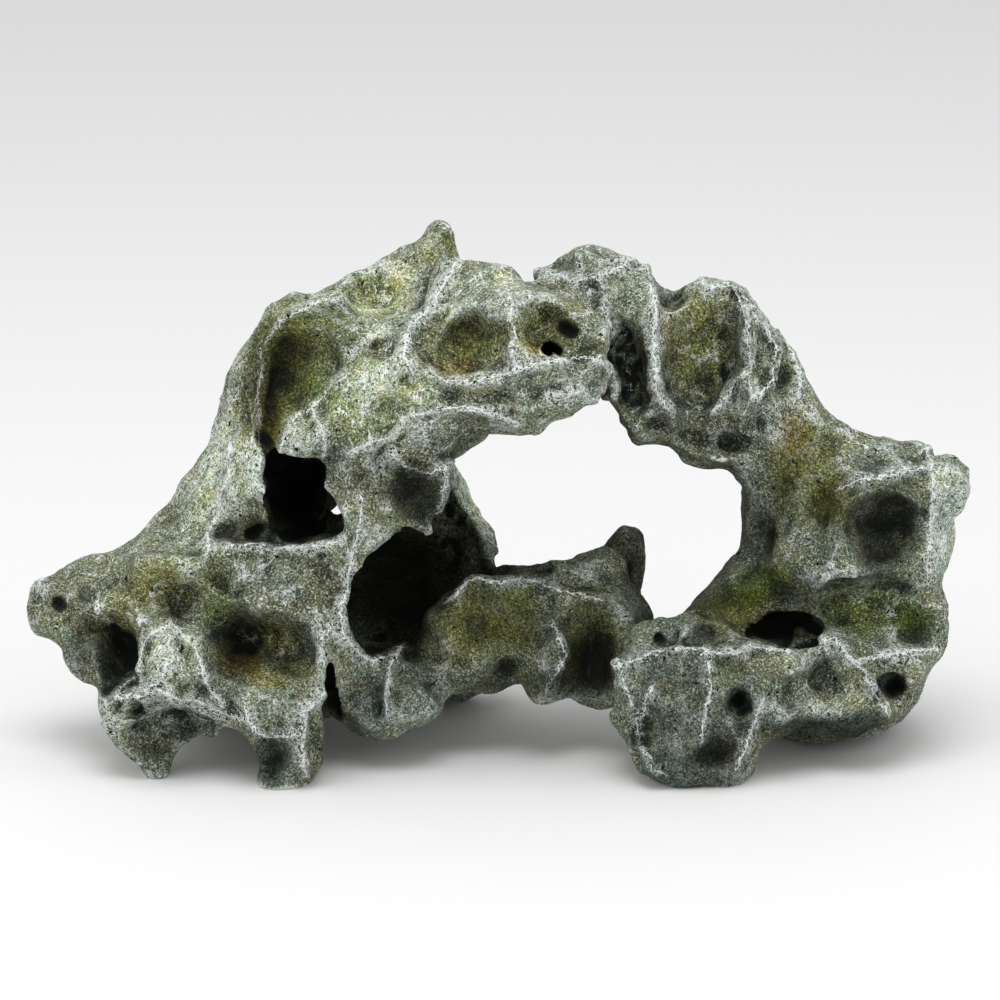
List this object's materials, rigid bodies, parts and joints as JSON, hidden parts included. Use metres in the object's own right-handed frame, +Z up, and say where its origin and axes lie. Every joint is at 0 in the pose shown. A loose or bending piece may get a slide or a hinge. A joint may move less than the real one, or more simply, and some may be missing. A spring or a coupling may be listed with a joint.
{
  "type": "holey rock",
  "caption": "Eroded rock in one piece, with an arch, a hollow cave, pits and ledges, that stands on flat feet in a tank or terrarium.",
  "frame": {"origin": "middle of the rock's box, on the surface that its feet stand on", "axes": "+X along the rock's length to the viewer's right, +Y to the back, +Z up"},
  "size_m": [0.315, 0.1203, 0.1724],
  "materials": {
    "stone": "matt grey-green stone, pale worn ridges, ochre and moss tints, dark pits"
  },
  "bodies": {
    "root": {"holey_rock": "stone"}
  },
  "joints": []
}
